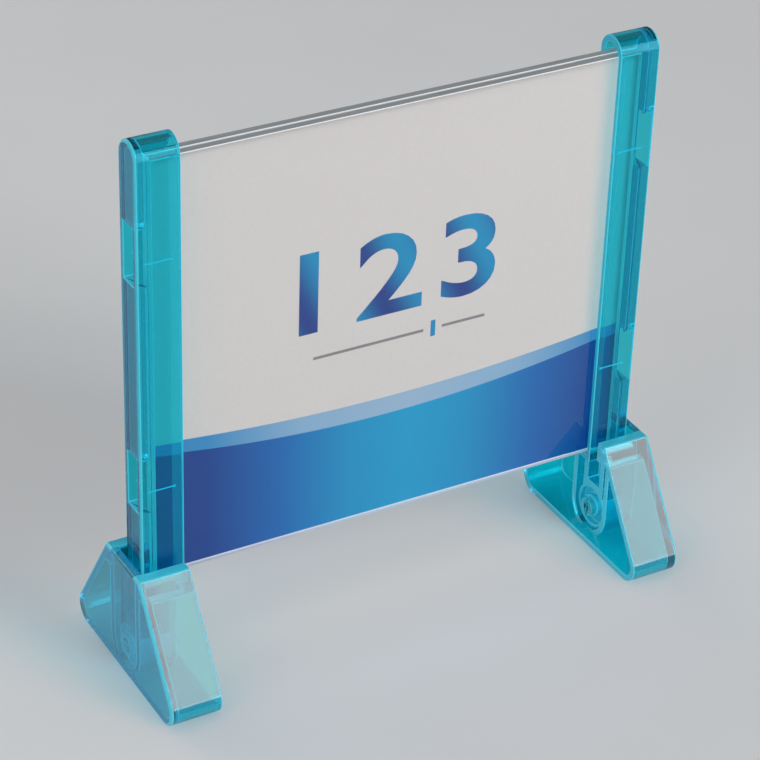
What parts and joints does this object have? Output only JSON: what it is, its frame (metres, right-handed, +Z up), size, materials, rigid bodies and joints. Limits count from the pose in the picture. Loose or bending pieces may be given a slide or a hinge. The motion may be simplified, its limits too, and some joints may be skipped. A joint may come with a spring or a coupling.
{
  "type": "table sign",
  "caption": "Free-standing table sign with a printed card between clear sheets, held by tinted clear channel rails that stand in rocking A-shaped feet.",
  "frame": {"origin": "on the table, midway between the feet and in the middle of the panel's thickness", "axes": "+Z up, +X along the panel to the right as the sign is read, -Y is the side that the sign faces"},
  "size_m": [0.1678, 0.0626, 0.1676],
  "materials": {
    "teal_plastic": "clear tinted, polished mould",
    "clear_acrylic": "clear, polished faces",
    "printed_card": "coated print"
  },
  "bodies": {
    "sign_panel": {"front_sheet": "clear_acrylic", "rear_sheet": "clear_acrylic", "insert_card": "printed_card"},
    "left_rail": {"left_rail": "teal_plastic"},
    "right_rail": {"right_rail": "teal_plastic"},
    "left_foot": {"left_foot": "teal_plastic"},
    "right_foot": {"right_foot": "teal_plastic"}
  },
  "joints": [
    {"name": "left_rail_slide", "type": "slide", "parent": "sign_panel", "child": "left_rail", "axis": [-1, 0, 0], "range_m": [0, 0.01]},
    {"name": "right_rail_slide", "type": "slide", "parent": "sign_panel", "child": "right_rail", "axis": [1, 0, 0], "range_m": [0, 0.01]},
    {"name": "left_foot_pivot", "type": "hinge", "parent": "left_rail", "child": "left_foot", "pos_m": [-0.0764, 0, 0.00935], "axis": [1, 0, 0], "range_deg": [-4, 4]},
    {"name": "right_foot_pivot", "type": "hinge", "parent": "right_rail", "child": "right_foot", "pos_m": [0.0764, 0, 0.00935], "axis": [1, 0, 0], "range_deg": [-4, 4]}
  ]
}
